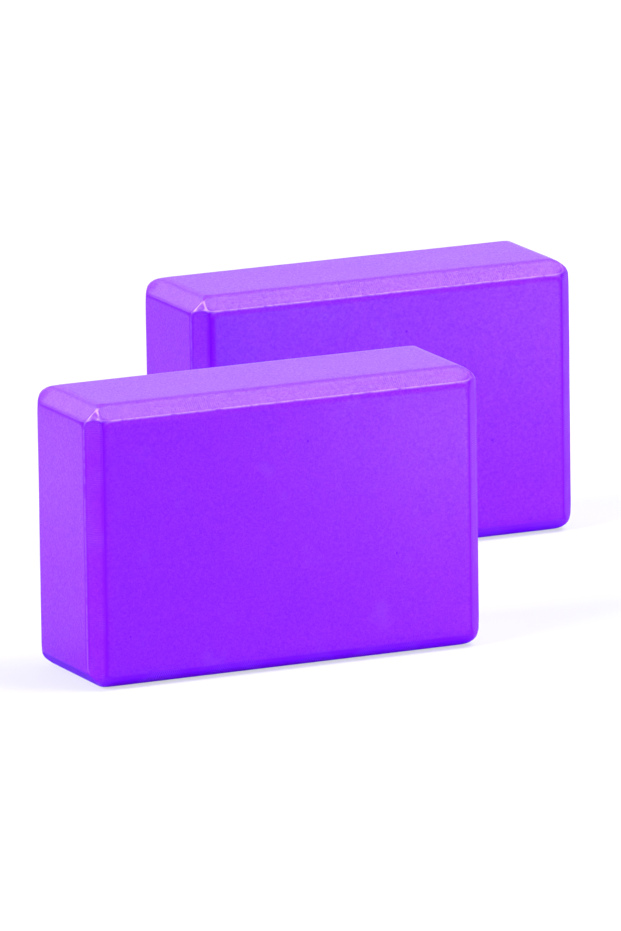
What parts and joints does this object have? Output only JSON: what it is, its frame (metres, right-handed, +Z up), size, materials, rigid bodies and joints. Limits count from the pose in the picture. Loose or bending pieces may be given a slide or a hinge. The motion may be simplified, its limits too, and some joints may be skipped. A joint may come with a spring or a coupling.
{
  "type": "yoga block pair",
  "caption": "Firm foam yoga blocks, plain bricks with every edge bevelled, standing on their long narrow sides, each a support at any of its heights.",
  "frame": {"origin": "on the floor, under the middle of the box round both blocks", "axes": "+X along the blocks' length, to the right in the picture; +Y from the front block towards the rear one; +Z up"},
  "size_m": [0.3936, 0.3024, 0.1524],
  "materials": {
    "purple_foam": "matte closed-cell EVA foam with a fine grain"
  },
  "bodies": {
    "front_block": {"front_block": "purple_foam"},
    "rear_block": {"rear_block": "purple_foam"}
  },
  "joints": [
    {"name": "rear_block_lift", "type": "slide", "parent": "front_block", "child": "rear_block", "axis": [0, 0, 1], "range_m": [0, 0.2]}
  ]
}
